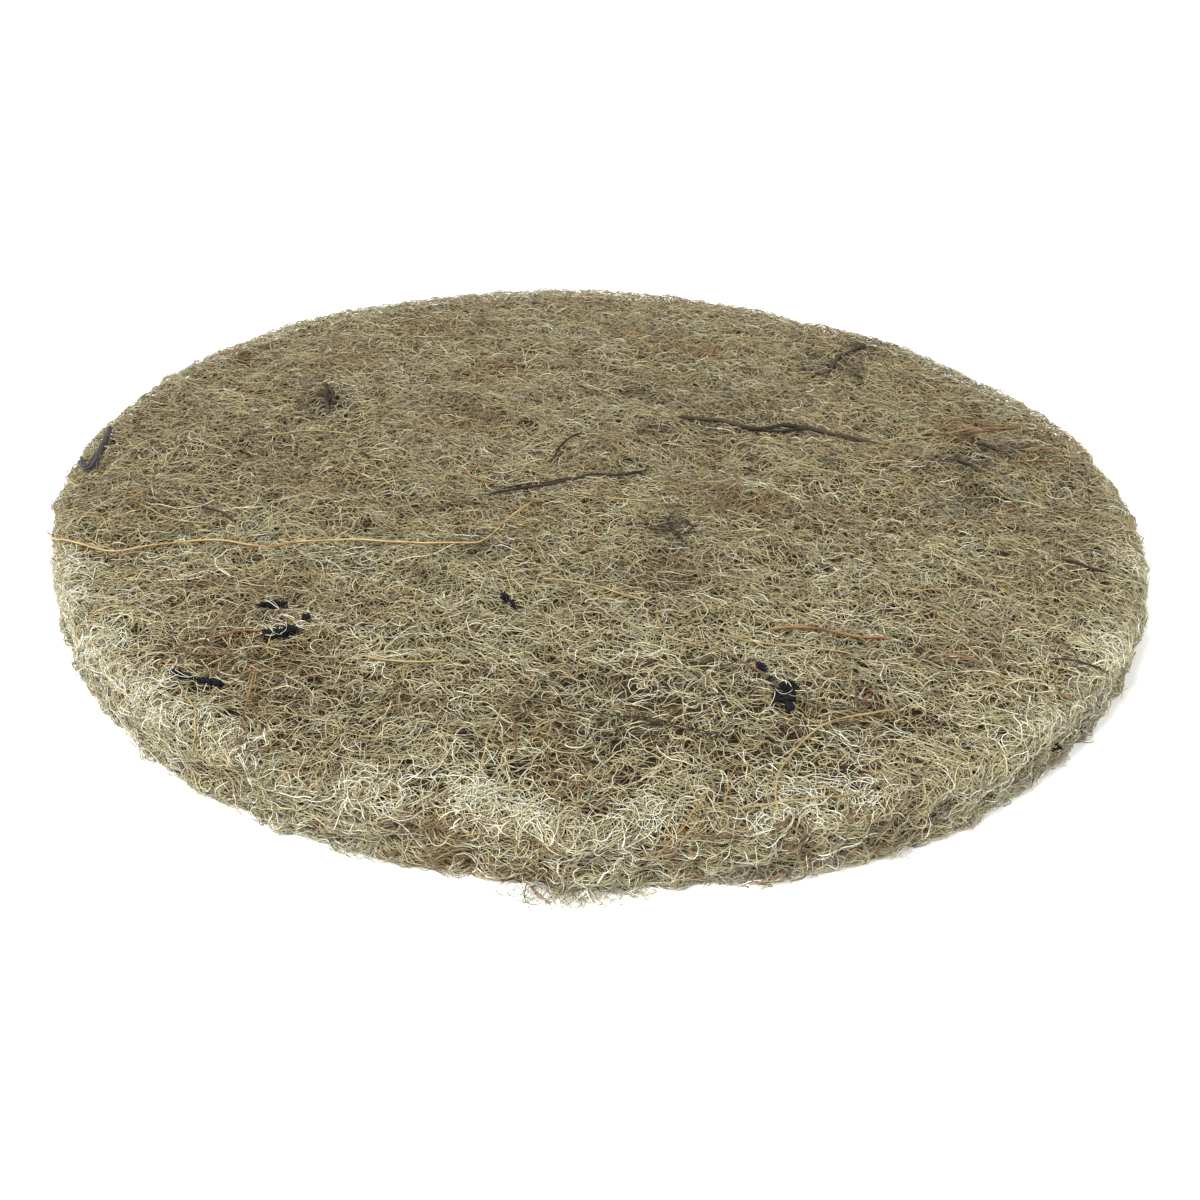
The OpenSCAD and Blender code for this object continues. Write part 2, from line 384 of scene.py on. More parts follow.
def hair_mat(name, stops, rough=0.35, scale=420.0, spec=0.4):
    """A coarse hair: its colour drifts along its length, with fine scales."""
    m = bpy.data.materials.new(name)
    nt, N, L, b = nodes_of(m)
    co = N.new("ShaderNodeTexCoord")
    n1 = noise(nt, co.outputs["Object"], scale, 2, 0.5)
    r1 = ramp(nt, n1.outputs["Fac"], stops)
    L.new(r1.outputs["Color"], b.inputs["Base Color"])
    b.inputs["Specular IOR Level"].default_value = spec
    n2 = noise(nt, co.outputs["Object"], 9000, 2, 0.5)
    rr = N.new("ShaderNodeMapRange")
    rr.inputs["To Min"].default_value = rough - 0.08
    rr.inputs["To Max"].default_value = rough + 0.15
    L.new(n2.outputs["Fac"], rr.inputs["Value"])
    L.new(rr.outputs["Result"], b.inputs["Roughness"])
    return m


# ------------------------------------------------------------------ the felt's three webs, under the nap
def revolve(name, prof, mat, node, nseg=540, cell=None):
    """A closed body from a profile function: prof(theta) gives (m, 2) rings of r and z from the lower to the upper centre."""
    th = np.linspace(0, TAU, nseg, endpoint=False)
    rings = prof(th)                              # (m, nseg, 2)
    m = rings.shape[0]
    x = rings[:, :, 0] * np.cos(th)
    y = rings[:, :, 0] * np.sin(th)
    V = np.stack([x, y, rings[:, :, 1]], -1).reshape(-1, 3)
    lo_c = [0, 0, float(rings[0, :, 1].mean())]
    hi_c = [0, 0, float(rings[-1, :, 1].mean())]
    V = np.vstack([V, lo_c, hi_c])
    i = np.arange(m - 1)[:, None]
    j = np.arange(nseg)[None, :]
    j1 = (j + 1) % nseg
    Q = np.stack([i * nseg + j, i * nseg + j1, (i + 1) * nseg + j1, (i + 1) * nseg + j], -1).reshape(-1, 4)
    j, j1 = j[0], j1[0]
    a = m * nseg
    Tl = np.stack([np.full(nseg, a), j1, j], -1)
    Th = np.stack([np.full(nseg, a + 1), (m - 1) * nseg + j, (m - 1) * nseg + j1], -1)
    o = make_mesh(name, V, Q, np.vstack([Tl, Th]), [mat])
    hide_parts(node)
    return o


UNDER = 0.80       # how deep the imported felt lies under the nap's outer skin


def felt_bodies():
    rr = np.r_[np.linspace(0.8, R0 - 2.2, 46)]
    nseg = 400

    def face(th):
        rings = [np.stack([np.full(nseg, r), np.full(nseg, Z2 + 0.01)], 1) for r in rr[::3]]
        body = []
        for z in np.linspace(Z2 + 0.01, T - ET, 4):
            P = np.stack([np.cos(th) * (R0 - 0.2), np.sin(th) * (R0 - 0.2), np.full(nseg, max(z, 1.9))], 1)
            r = outline(th, np.full(nseg, z)) - UNDER + 0.10 * pores(8 * th, 3 * z)
            body.append(np.stack([r, np.full(nseg, z)], 1))
        for a in np.radians([18, 36, 54, 72, 88]):
            x, y = np.cos(th) * (R0 - ET), np.sin(th) * (R0 - ET)
            top = T + lump(x, y) * 0.6
            r = outline(th, np.full(nseg, T)) - ET + (ET - UNDER) * np.cos(a)
            z = top - ET + (ET - UNDER) * np.sin(a)
            body.append(np.stack([r, z], 1))
        up = []
        for r in rr[::-1]:
            x, y = np.cos(th) * r, np.sin(th) * r
            z = T + lump(x, y) - UNDER + 0.09 * pores(x, y) - 0.05
            up.append(np.stack([np.full(nseg, r), z], 1))
        return np.array(rings + body + up)

    def plain(z0, z1, deep):
        def f(th):
            rings = [np.stack([np.full(nseg, r), z0 + 0 * th + deep(np.cos(th) * r, np.sin(th) * r)], 1) for r in rr]
            for z in np.linspace(z0 + (0.25 if z0 < 0.5 else 0.0), z1, 6):
                r = outline(th, np.full(nseg, z)) - UNDER + 0.10 * pores(8 * th, 3 * z)
                rings.append(np.stack([r, np.full(nseg, z)], 1))
            rings += [np.stack([np.full(nseg, r), np.full(nseg, z1)], 1) for r in rr[::-3]]
            return np.array(rings)
        return f

    # the face body's tint is far darker than its wool: painted shade in the voids between the fibres
    m_face = felt_mat("packed_felt_face_painted_shade", (0.040, 0.029, 0.014), 1.0)
    m_core = felt_mat("packed_felt_core", (0.070, 0.054, 0.031), 5.0)
    m_back = felt_mat("packed_felt_back", (0.10, 0.082, 0.054), 3.0)
    a = revolve("felt_face_body", face, m_face, "felt_face_web", nseg)
    b = revolve("felt_core_body", plain(Z1 + 0.01, Z2 - 0.01, lambda x, y: 0 * x), m_core, "felt_core_web", nseg)
    c = revolve("felt_back_body", plain(0.34, Z1 - 0.01, lambda x, y: np.maximum(0.10 * pores(x, y), -0.30)), m_back, "felt_back_web", nseg)
    return a, b, c


# ------------------------------------------------------------------ the nap
def disc_points(n, rmax):
    r = rmax * np.sqrt(rng.uniform(0, 1, n))
    a = rng.uniform(0, TAU, n)
    return r * np.cos(a), r * np.sin(a)


def headings(n):
    a = rng.uniform(0, TAU, n)
    return np.stack([np.cos(a), np.sin(a), np.zeros(n)], 1)


def radii(n, mean=0.030, spread=0.24):
    return mean * np.exp(rng.normal(0, spread, n)).clip(0.6, 1.8)


def face_nap(bundle):
    plan = [  # fibres, steps, step length, curl, how long a bend lasts, depth range, sway
        (9200, 12, (0.17, 0.25), 1.7, 0.6, (0.01, 0.30), 0.20),
        (6800, 12, (0.22, 0.32), 1.4, 0.8, (0.26, 0.84), 0.18),
        (5200, 12, (0.26, 0.36), 0.8, 1.2, (0.03, 0.32), 0.22),
        (4200, 11, (0.36, 0.48), 1.0, 1.2, (0.30, 0.84), 0.18),
        (2200, 9, (0.55, 0.80), 0.45, 2.5, (0.00, 0.55), 0.18),
        (8600, 9, (0.12, 0.18), 2.4, 0.5, (-0.02, 0.34), 0.15),
        (14500, 6, (0.20, 0.36), 0.7, 1.0, (-0.01, 0.34), 0.15),
    ]
    for n, steps, (d0, d1), curl, tight, (a, b), sway in plan:
        x, y = disc_points(n, R0 - 0.1)
        # thinner nap where the felt shows dark pores
        thin = 0.36 * spots(x, y, [(2, -28, 7, 1.0), (12, -28, 6, 0.9), (-13, -27, 7, 0.8), (2, -21, 7, 0.4)]) + 0.10 * tone(x, y)
        ok = rng.uniform(0, 1, n) > thin * (b < 0.6)
        x, y = x[ok], y[ok]
        n = len(x)
        P = np.stack([x, y, np.full(n, T)], 1)
        dep = rng.uniform(a, b, n)
        pts, nrm = grow(P, headings(n), steps, rng.uniform(d0, d1, n), curl, tight, dep, sway * rng.uniform(0.3, 1, n),
                        crimp=0.5 if steps < 10 else 1.6)
        bundle.add(pts, nrm, radii(n, 0.0205), wool_colour(pts.mean(1), dep), 0.85)
    # free ends that stand a little proud
    n = 600
    x, y = disc_points(n, R0 + 0.1)
    P = np.stack([x, y, np.full(n, T)], 1)
    pts, nrm = grow(P, headings(n), 13, rng.uniform(0.2, 0.34, n), 1.3, 1.0, rng.uniform(0, 0.2, n), 0.08 * np.ones(n),
                    rise=rng.uniform(0.05, 0.45, n))
    bundle.add(pts, nrm, radii(n, 0.018), wool_colour(pts.mean(1), np.zeros(n)), 0.85)


def clump(bundle, x0, y0, rad, n, curl=1.8, pale=2.3, z0=None, depth=(-0.12, 0.2), aim=None):
    """A tuft of pale fibres on the face or the rim."""
    a = rng.uniform(0, TAU, n)
    r = rad * np.sqrt(rng.uniform(0, 1, n))
    x, y = x0 + r * np.cos(a), y0 + 0.8 * r * np.sin(a)
    z = np.full(n, T) if z0 is None else z0 + rng.normal(0, 0.35, n)
    P = np.stack([x, y, z], 1)
    D = headings(n)
    if aim is not None:
        D = unit(D * 0.6 + np.array(aim)[None, :])
    dep = rng.uniform(*depth, n)
    pts, nrm = grow(P, D, 10, rng.uniform(0.10, 0.18, n), curl, 0.6, dep, 0.14 * np.ones(n), crimp=1.6)
    bundle.add(pts, nrm, radii(n, 0.0165), wool_colour(pts.mean(1), dep, pale=pale, white=2.0), 0.95)


def rim_colour(pts, dep, pale, brown):
    """Level streaks: long patches of one wool, each less than half a millimetre high."""
    c = pts.mean(1)
    th = np.arctan2(c[:, 1], c[:, 0])
    s = layers(R0 * th / 4.0, 2.6 * c[:, 2])
    return wool_colour(c, dep, pale=pale + 1.2 * s, brown=brown - 0.8 * s, dark=-0.6 * s, grey=0.8)


def foot_wisps(bundle, list_):
    """Loose wisps that lie on the surface before the foot of the rim: (azimuth in degrees, reach in mm, how many)."""
    m = 9
    s = np.linspace(0, 1, m)[None, :]
    for az, reach, n in list_:
        a = np.radians(az) + rng.normal(0, 0.022, n)
        R = outline(a, np.full(n, 0.3)) - 0.35
        out = reach * rng.uniform(0.35, 1.0, n)[:, None] * np.sin(s * rng.uniform(1.3, 2.6, n)[:, None])
        side = rng.normal(0, 0.6, n)[:, None] * s + 0.22 * np.sin(s * rng.uniform(3, 8, n)[:, None] + rng.uniform(0, TAU, n)[:, None])
        r = R[:, None] + 0.2 + out
        z = 0.07 + rng.uniform(0.05, 0.5, n)[:, None] * (1 - s) ** 2 + rng.uniform(0, 0.12, n)[:, None] * np.sin(np.pi * s)
        th = a[:, None] + side / R0
        pts = np.stack([r * np.cos(th), r * np.sin(th), z], 2)
        nrm = np.zeros_like(pts)
        nrm[..., 2] = 1.0
        bundle.add(pts, nrm, radii(n, 0.0185), rng.choice([0, 1, 4, 6, 6, 8], n))


def rim_nap(bundle):
    def place(n, z0, z1):
        th = rng.uniform(0, TAU, n)
        z = rng.uniform(z0, z1, n)
        R = outline(th, z)
        return th, z, np.stack([R * np.cos(th), R * np.sin(th), z], 1)

    def along(th, tilt):
        s = np.where(rng.uniform(0, 1, len(th)) < 0.5, 1, -1)
        return np.stack([-np.sin(th) * s * np.cos(tilt), np.cos(th) * s * np.cos(tilt), np.sin(tilt)], 1)

    # half way up, the fibres lie level in the webs, and are the browner wool of the inside
    n = 5600
    th, z, P = place(n, 0.8, T - 1.0)
    tilt = rng.normal(0, 0.16, n) + np.where(rng.uniform(0, 1, n) < 0.12, rng.normal(0, 0.8, n), 0)
    dep = rng.uniform(-0.02, 0.62, n)
    pts, nrm = grow(P, along(th, tilt), 12, rng.uniform(0.28, 0.5, n), 0.35, 1.6, dep, 0.14 * rng.uniform(0.3, 1, n), crimp=0.8)
    bundle.add(pts, nrm, radii(n, 0.0205), rim_colour(pts, dep, -0.2, 0.3))
    # the shoulder above them: tangled and pale
    n = 4200
    th, z, P = place(n, T - 1.0, T - 0.05)
    dep = rng.uniform(-0.08, 0.4, n)
    pts, nrm = grow(P, along(th, rng.normal(0, 0.7, n)), 12, rng.uniform(0.16, 0.24, n), 1.5, 0.7, dep, 0.15 * rng.uniform(0.3, 1, n), crimp=1.6)
    bundle.add(pts, nrm, radii(n, 0.0185), wool_colour(pts.mean(1), dep, pale=0.0, grey=0.8))
    # curled ones all over the rim
    n = 1500
    th, z, P = place(n, 0.3, T - 0.8)
    dep = rng.uniform(-0.08, 0.35, n)
    pts, nrm = grow(P, along(th, rng.uniform(0, TAU, n)), 12, rng.uniform(0.18, 0.30, n), 1.7, 0.8, dep, 0.12 * rng.uniform(0.3, 1, n), crimp=1.6)
    bundle.add(pts, nrm, radii(n, 0.0205), wool_colour(pts.mean(1), dep, pale=-0.1, grey=0.9))
    # the loose fringe at the foot: short pale curls that spread onto whatever the disc lies on, their wool made greyer
    # and darker as painted contact shadow
    n = 4000
    th, z, P = place(n, 0.04, 0.85)
    dep = rng.uniform(-0.14, 0.3, n)
    pts, nrm = grow(P, along(th, rng.uniform(0, TAU, n)), 10, rng.uniform(0.16, 0.26, n), 1.5, 0.8, dep, 0.10 * rng.uniform(0.3, 1, n),
                    rise=rng.uniform(-0.1, 0.22, n), crimp=1.6)
    # pale=-0.3 and grey=1.7 paint contact shadow into the fringe's wool
    bundle.add(pts, nrm, radii(n, 0.020), wool_colour(pts.mean(1), np.clip(dep, 0, 1), pale=-0.3, grey=1.7))
    foot_wisps(bundle, [(266.2, 1.1, 18), (267.4, 1.5, 24), (268.8, 1.5, 26), (270.2, 1.4, 24), (271.6, 1.2, 22), (273.2, 0.8, 16), (275.0, 0.5, 12),
                        (252.0, 0.4, 10), (241.0, 0.4, 10), (284.0, 0.4, 10), (297.0, 0.4, 8)])


def back_nap(bundle):
    for n, steps, (d0, d1), curl, tight in ((3200, 10, (0.45, 0.7), 0.9, 1.6), (1900, 13, (0.28, 0.4), 1.9, 1.0)):
        x, y = disc_points(n, R0 - 0.5)
        P = np.stack([x, y, np.full(n, 0.0)], 1)
        dep = rng.uniform(0.05, 0.34, n)
        pts, nrm = grow(P, headings(n), steps, rng.uniform(d0, d1, n), curl, tight, dep, 0.10 * rng.uniform(0.2, 1, n))
        bundle.add(pts, nrm, radii(n, 0.044), wool_colour(pts.mean(1), dep))


bodies = felt_bodies()

face = Bundle()
face_nap(face)
for x, y, r, n in [(-4.8, -35.9, 1.9, 150), (-2.3, -36.6, 1.4, 80), (-25.5, -27.2, 2.4, 130), (-28.6, -23.8, 2.0, 110),
                   (-18.5, -31.6, 1.8, 70), (-33.5, -15.5, 1.8, 80), (9.8, -34.8, 2.2, 80), (14.5, -33.6, 1.8, 60),
                   (3.2, -35.8, 1.6, 50), (-32, -19.5, 1.6, 70), (24.8, -27.2, 1.7, 50), (31.5, -19, 1.7, 50),
                   (-21.9, -30, 2.0, 90), (-10.6, -35.2, 1.8, 60), (-16.8, -20.6, 1.6, 40), (35.2, -9, 1.5, 40)]:
    clump(face, x, y, r, int(1.35 * n))
for x, y, r, n in [(-18.4, -21.3, 1.1, 10), (-19.5, -19.0, 0.8, 3), (-22.2, -26.6, 1.0, 4), (10.9, -25.7, 1.0, 7), (-5.5, -16.9, 0.6, 2)]:
    clump(face, x, y, r, n, curl=1.2, pale=3.0, depth=(-0.42, -0.3))
face.write("nap_face", "felt_face_web", WOOL_MATS, 20)
rim = Bundle()
rim_nap(rim)
rim.write("nap_rim", "felt_core_web", WOOL_MATS, 6)
back = Bundle()
back_nap(back)
back.write("nap_back", "felt_back_web", WOOL_MATS, 4)


# ------------------------------------------------------------------ coarse hairs, tufts and flecks
def spline(p, step=0.12):
    """A smooth curve through the points p (Catmull-Rom), sampled about every step mm."""
    p = np.asarray(p, float)
    q = np.vstack([2 * p[0] - p[1], p, 2 * p[-1] - p[-2]])
    out = []
    for i in range(1, len(q) - 2):
        n = max(2, int(np.linalg.norm(q[i + 1] - q[i]) / step))
        t = np.linspace(0, 1, n, endpoint=False)[:, None]
        a, b, c, d = q[i - 1], q[i], q[i + 1], q[i + 2]
        out.append(0.5 * (2 * b + (c - a) * t + (2 * a - 5 * b + 4 * c - d) * t ** 2 + (3 * b - a - 3 * c + d) * t ** 3))
    out.append(p[-1:])
    return np.vstack(out)


def lay(points, wob=0.03, seed=0):
    """Points x, y, height over the felt's skin -> a path that follows the felt's lumps, with a little wobble."""
    q = spline([(p[0], p[1], p[2] if len(p) > 2 else 0.08) for p in points])
    n = len(q)
    P = np.stack([q[:, 0], q[:, 1], np.full(n, T)], 1)
    S, N = skin(P, np.zeros(n))
    r = np.random.default_rng(seed)
    s = np.arange(n) * 0.12
    w = sum(np.sin(s * TAU / r.uniform(1.5, 6) + r.uniform(0, TAU)) for _ in range(3)) / 3
    v = sum(np.sin(s * TAU / r.uniform(1.5, 6) + r.uniform(0, TAU)) for _ in range(3)) / 3
    t = unit(np.gradient(S, axis=0))
    side = np.cross(N, t)
    return S + N * (q[:, 2] + 0.04 + wob * v)[:, None] + side * (wob * 1.5 * w)[:, None]


def strand_mesh(path, rad, sides=8, taper=0.7):
    """A round closed strand along a path, thinner at its two ends."""
    n = len(path)
    t = unit(np.gradient(path, axis=0))
    a = np.zeros_like(path)
    ref = np.array([0, 0, 1.0])
    for i in range(n):
        v = ref - (ref @ t[i]) * t[i]
        if np.linalg.norm(v) < 1e-3:
            v = np.array([1.0, 0, 0]) - t[i][0] * t[i]
        a[i] = v / np.linalg.norm(v)
        ref = a[i]
    b = np.cross(t, a)
    s = np.linspace(0, 1, n)
    f = np.clip(np.minimum(s, 1 - s) * n * 0.12 / taper, 0.0, 1.0) ** 0.6
    f = (0.25 + 0.75 * f) * (1 + 0.12 * np.sin(s * n * 0.12 * 3.1))
    ph = TAU * np.arange(sides) / sides
    ring = path[:, None, :] + rad * f[:, None, None] * (np.cos(ph)[None, :, None] * a[:, None, :] + np.sin(ph)[None, :, None] * b[:, None, :])
    V = np.vstack([ring.reshape(-1, 3), path[0] - t[0] * rad * 0.5, path[-1] + t[-1] * rad * 0.5])
    i = np.arange(n - 1)[:, None]
    j = np.arange(sides)[None, :]
    j1 = (j + 1) % sides
    Q = np.stack([i * sides + j, i * sides + j1, (i + 1) * sides + j1, (i + 1) * sides + j], -1).reshape(-1, 4)
    j, j1 = j[0], j1[0]
    e = n * sides
    Tr = np.vstack([np.stack([np.full(sides, e), j1, j], -1), np.stack([np.full(sides, e + 1), (n - 1) * sides + j, (n - 1) * sides + j1], -1)])
    V[:, 2] = np.maximum(V[:, 2], 0.02)
    return V, Q, Tr


def hairs(name, node, mat, list_, sides=8):
    """One piece from several strands, each (points, radius[, wobble])."""
    Vs, Qs, Ts, off = [], [], [], 0
    for k, h in enumerate(list_):
        V, Q, Tr = strand_mesh(lay(h[0], h[2] if len(h) > 2 else 0.03, seed=hash_of(name, k)), h[1], sides)
        Vs.append(V)
        Qs.append(Q + off)
        Ts.append(Tr + off)
        off += len(V)
    o = make_mesh(name, np.vstack(Vs), np.vstack(Qs), np.vstack(Ts), [mat])
    if node:
        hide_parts(node)
    return o


def hash_of(name, k):
    return sum(ord(c) * (i + 1) for i, c in enumerate(name)) % 10007 + 31 * k


gold = hair_mat("golden_hair", [(0.30, (0.23, 0.138, 0.040)), (0.5, (0.33, 0.235, 0.092)), (0.68, (0.19, 0.088, 0.024))], 0.45)
fine = hair_mat("fine_golden_hair", [(0.30, (0.19, 0.132, 0.042)), (0.55, (0.245, 0.188, 0.080)), (0.72, (0.15, 0.080, 0.024))], 0.5)
kemp = hair_mat("russet_kemp", [(0.30, (0.060, 0.025, 0.008)), (0.52, (0.135, 0.063, 0.018)), (0.72, (0.20, 0.115, 0.036))], 0.5)
brown = hair_mat("brown_hair", [(0.35, (0.035, 0.018, 0.008)), (0.65, (0.10, 0.048, 0.017))], 0.5)
dark = hair_mat("dark_hair", [(0.35, (0.012, 0.008, 0.006)), (0.7, (0.036, 0.024, 0.015))], 0.7, spec=0.2)
ink = hair_mat("black_wool", [(0.35, (0.002, 0.002, 0.003)), (0.7, (0.009, 0.008, 0.011))], 0.85, spec=0.2)
slate = hair_mat("slate_wool", [(0.35, (0.020, 0.018, 0.021)), (0.7, (0.055, 0.048, 0.055))], 0.7)

hairs("long_golden_hair_strand", "long_golden_hair", gold,
      [([(-37.2, -10.9, -0.02), (-36.2, -11.5, 0.1), (-35.2, -12.1, 0.14), (-33.3, -13.2, 0.12), (-30.7, -13.7, 0.13), (-28.3, -12.9, 0.14), (-25, -11.9, 0.12),
         (-22.3, -12.3, 0.06), (-21, -12.2, -0.1), (-19.3, -11.5, 0.08), (-16.7, -11.0, 0.12), (-13.3, -11.3, 0.12),
         (-10.7, -11.7, 0.1), (-8.3, -11.2, 0.08), (-7.4, -10.4, 0.02), (-6.4, -7.8, -0.1), (-5.6, -6.2, 0.05), (-4.8, -4.9, 0.08)], 0.058, 0.02)])
hairs("curled_golden_hair_strand", "curled_golden_hair", fine,
      [([(16.9, -26.3, -0.2), (16.1, -26.6, 0.03), (14.1, -27.4, 0.05), (12.95, -28.1, 0.0), (11.9, -29.1, 0.04), (10.45, -31.05, 0.04),
         (9.65, -33.15, 0.05), (9.5, -35.0, 0.06), (9.7, -35.9, 0.0)], 0.055, 0.02)])
hairs("fine_golden_hair_strands", "fine_golden_hairs", fine,
      [([(-3.4, -14.9), (-1.6, -14.6), (0.2, -15.1), (1.6, -15.9), (3.1, -16.8)], 0.06),
       ([(7.15, -20.0), (8.9, -20.45), (10.9, -20.9), (13.25, -21.15), (15.5, -21.7)], 0.045),
       ([(17.85, -22.4, -0.03), (18.4, -22.7, 0.04), (18.9, -23.1, -0.03)], 0.05),
       ([(7.4, -35.2, -0.06), (8.7, -34.93, 0.04), (11.3, -34.33, 0.06), (13.2, -33.9, 0.05), (14.5, -33.6, -0.04)], 0.042),
       ([(-22, -28.4), (-21.1, -29.6), (-20.9, -31.0), (-21.8, -32.8)], 0.05),
       ([(-13.3, -23.6), (-11.4, -24.2), (-9.8, -24.4), (-8.3, -24.1)], 0.06),
       ([(26, -15), (24, -13.9), (21.5, -13.9), (19.4, -14.8)], 0.04),
       ([(-26, 3), (-22, 4.6), (-18.5, 4.8)], 0.04),
       ([(3.6, -18.2), (4.4, -20.4), (6.4, -21.6)], 0.05),
       ([(0.4, -4.1), (2.6, -4.4), (4.2, -4.0)], 0.05),
       ([(-30.6, -8.2), (-28, -9.6), (-25.4, -9.9)], 0.035),
       ([(14, 2.5), (16.5, 1.2), (19.6, 1.4)], 0.035)])
hairs("russet_kemp_strands", "russet_kemp_hairs", kemp,
      [([(10.3, -19.05, -0.08), (11.0, -19.05, 0.08), (13.2, -19.2, 0.14), (14.6, -19.5, 0.12), (15.6, -19.65, 0.02), (16.2, -19.7, -0.02), (17.0, -19.85, 0.08), (17.8, -20.0, -0.04)], 0.095, 0.015),
       ([(-18.9, -25.4, -0.04), (-18.7, -27.4, 0.07), (-18.45, -30.0, 0.08), (-18.05, -32.5, 0.0)], 0.05, 0.012),
       ([(-23.8, -23.6, -0.06), (-22.2, -22.7, 0.03), (-20.4, -22.0, 0.03), (-18.6, -21.5, -0.06)], 0.06, 0.05),
       ([(25.6, 8.6, -0.08), (28, 9.5, 0.0), (30.4, 10.4, 0.0), (32.6, 10.6, -0.08)], 0.08, 0.06),
       ([(30.6, 4.6, -0.08), (32.4, 5.0, 0.0), (34.8, 5.1, -0.05)], 0.07, 0.06),
       ([(9.8, 25.6, -0.1), (9.2, 23.8, -0.02), (8.8, 22.2, -0.1)], 0.08, 0.06),
       ([(20.8, -20.9, -0.05), (21.8, -21.4, 0.04), (22.9, -21.9, -0.05)], 0.08, 0.04),
       ([(-10.2, 0.2, -0.05), (-9.2, -1.2, 0.06), (-7.4, -1.8, -0.05)], 0.05, 0.05)])
hairs("brown_guard_hair_strands", "brown_guard_hairs", brown,
      [([(-4.1, -26.8, 0.02), (-4.3, -28.4, 0.1), (-4.0, -30.2, 0.1), (-3.8, -32.0, 0.02)], 0.065),
              ([(-18.5, -32.9, 0.05), (-17.4, -32.4, 0.1), (-16.0, -32.1, 0.02)], 0.07),
       ([(7.2, -21.8, 0.02), (8.6, -23.0, 0.1), (9.8, -24.4, 0.1), (10.6, -25.6, 0.02)], 0.06),
       ([(15.6, -25.9, 0.02), (14.8, -26.9, 0.08), (14.9, -24.9, 0.06), (16.2, -24.3, 0.02)], 0.045),
       ([(24.6, 9.2, -0.05), (27.4, 8.8, 0.05), (31, 9.8, -0.02)], 0.06, 0.06),
       ([(-24.8, -22.5, 0), (-22.8, -24.4, 0.1), (-20.2, -24.2, 0.06)], 0.05, 0.06),
       ([(-1.9, -33.0, 0.02), (-1.1, -33.6, 0.1), (-0.2, -34.6, 0.05)], 0.06),
       ([(10.2, -35.6, 0.02), (9.6, -36.4, 0.1), (9.4, -37.4, 0.06)], 0.06),
       ([(-12, -6.2), (-9.8, -5.3), (-7.4, -5.6)], 0.04),
       ([(27.2, -18.6), (28.4, -20.2), (28.2, -22)], 0.04)])
hairs("dark_guard_hair_strands", "dark_guard_hairs", dark,
      [([(-7.8, -3.7, -0.05), (-7.0, -3.4, 0.05), (-5.3, -2.7, 0.08), (-3.3, -2.0, 0.05), (-0.7, -0.8, 0.08), (1.7, 0.0, 0.05), (3.5, 0.9, -0.05)], 0.10, 0.05),
       ([(-7.2, -2.9, -0.05), (-5.0, -2.0, 0.0), (-3.9, -1.9, 0.06), (-1.9, -1.0, -0.05)], 0.06, 0.05),
       ([(-1.7, 6.3, -0.04), (-2.3, 5.2, 0.06), (-3.2, 3.7, 0.06), (-3.8, 1.4, -0.05)], 0.085, 0.05),
       ([(5.8, 9.9, -0.06), (7.4, 9.8, 0.05), (9.3, 9.3, 0.08), (11.7, 8.5, 0.08), (13.6, 8.7, 0.08), (15.3, 8.4, 0.08), (18, 7.7, 0.06), (21.2, 7.2, -0.05)], 0.15, 0.05),
       ([(10.6, 9.2, -0.05), (13.2, 8.1, 0.05), (16.4, 8.2, 0.05), (19.5, 7.1, -0.05)], 0.09, 0.06),
       ([(4.8, -5.6, -0.05), (4.6, -7.0, 0.06), (5.2, -8.6, 0.08), (5.5, -10, 0.0)], 0.07, 0.08),
       ([(5.6, -6.4, -0.05), (6.2, -7.6, 0.05), (5.6, -8.8, 0.08), (4.9, -8.4, 0.06), (4.9, -7.2, 0.05), (5.6, -6.8, -0.02)], 0.05, 0.05),
       ([(2.6, -7.2, -0.05), (3.6, -7.8, 0.04), (4.9, -7.8, -0.02)], 0.06, 0.05),
       ([(30.6, -9.3, -0.04), (31.4, -9.8, 0.1), (32.3, -10.6, 0.12), (33.2, -10.9, 0.0)], 0.10, 0.03),
       ([(27.0, -20.9, -0.03), (28.4, -21.2, 0.1), (30.9, -21.9, 0.0)], 0.06, 0.03),
       ([(-26.6, -7.9, -0.04), (-25.2, -8.5, 0.08), (-23.8, -9.6, -0.02)], 0.07, 0.04),
       ([(-22.3, 13.2, -0.12), (-22.0, 11.4, 0.02), (-21.6, 9.6, 0.02), (-21.2, 7.8, -0.12)], 0.16, 0.06),
       ([(-21.8, 12.4, -0.12), (-21.4, 10.4, 0.0), (-22.1, 8.6, -0.12)], 0.10, 0.06),
       ([(20.4, 24.4, -0.12), (19.6, 22.6, 0.0), (18.6, 20.0, -0.12)], 0.15, 0.06),
       ([(22.6, 26.6, -0.12), (22.1, 25.2, 0.0), (20.4, 24.2, -0.12)], 0.12, 0.06),
       ([(-3.85, -27.2, -0.05), (-3.0, -27.4, 0.05), (-1.0, -27.95, 0.07), (0.6, -28.25, 0.06), (2.8, -28.8, 0.04), (4.3, -29.15, 0.07), (6.3, -29.65, -0.05)], 0.038, 0.015),
       ([(1.6, -28.2, -0.08), (3.4, -28.6, 0.05), (5.2, -29.2, 0.06), (7.4, -30.0, -0.08)], 0.034, 0.04),
       ([(-17.8, 1.6, -0.1), (-17.1, 0.9, 0.03), (-16.4, 0.2, -0.1)], 0.09, 0.05),
       ([(26.0, 4.6, -0.12), (26.8, 3.8, 0.0), (27.6, 2.6, -0.12)], 0.12, 0.07),
       ([(28.4, 6.9, -0.12), (29.4, 6.3, 0.0), (30.4, 5.8, -0.12)], 0.11, 0.07),
       ([(35.9, 3.2, 0.0), (35.0, -0.4, 0.05), (34.6, -2.2, 0.0)], 0.03, 0.05)])


